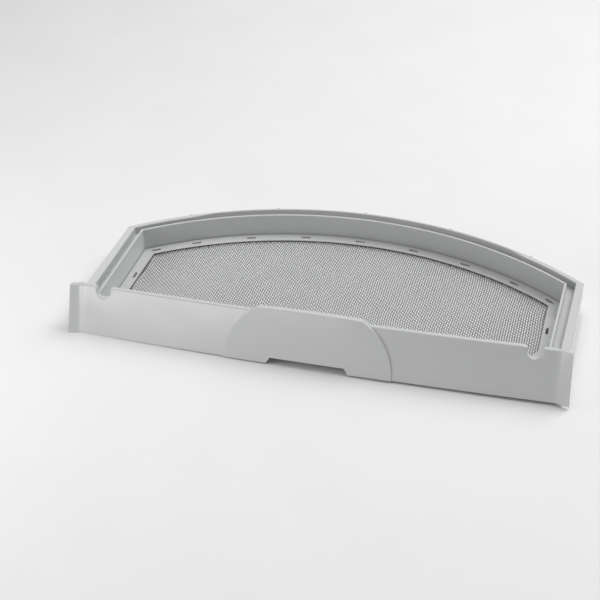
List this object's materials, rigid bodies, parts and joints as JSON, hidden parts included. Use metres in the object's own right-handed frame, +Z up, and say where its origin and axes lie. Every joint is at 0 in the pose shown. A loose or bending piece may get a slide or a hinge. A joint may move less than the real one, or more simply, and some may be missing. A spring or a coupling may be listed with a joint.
{
  "type": "tumble dryer lint filter",
  "caption": "Shallow tumble dryer lint tray with a curved back, a fine screen in its floor and a leaning front plate with a pull tongue and finger cut-out.",
  "frame": {"origin": "bottom centre of the bounding box, on the table the filter rests on", "axes": "+X along the front plate, +Y from the plate to the curved back, +Z up out of the tray"},
  "size_m": [0.4024, 0.1974, 0.0434],
  "materials": {
    "frame_plastic": "satin",
    "screen_weave": "matt"
  },
  "bodies": {
    "root": {"filter_frame": "frame_plastic", "mesh_screen": "screen_weave"}
  },
  "joints": []
}
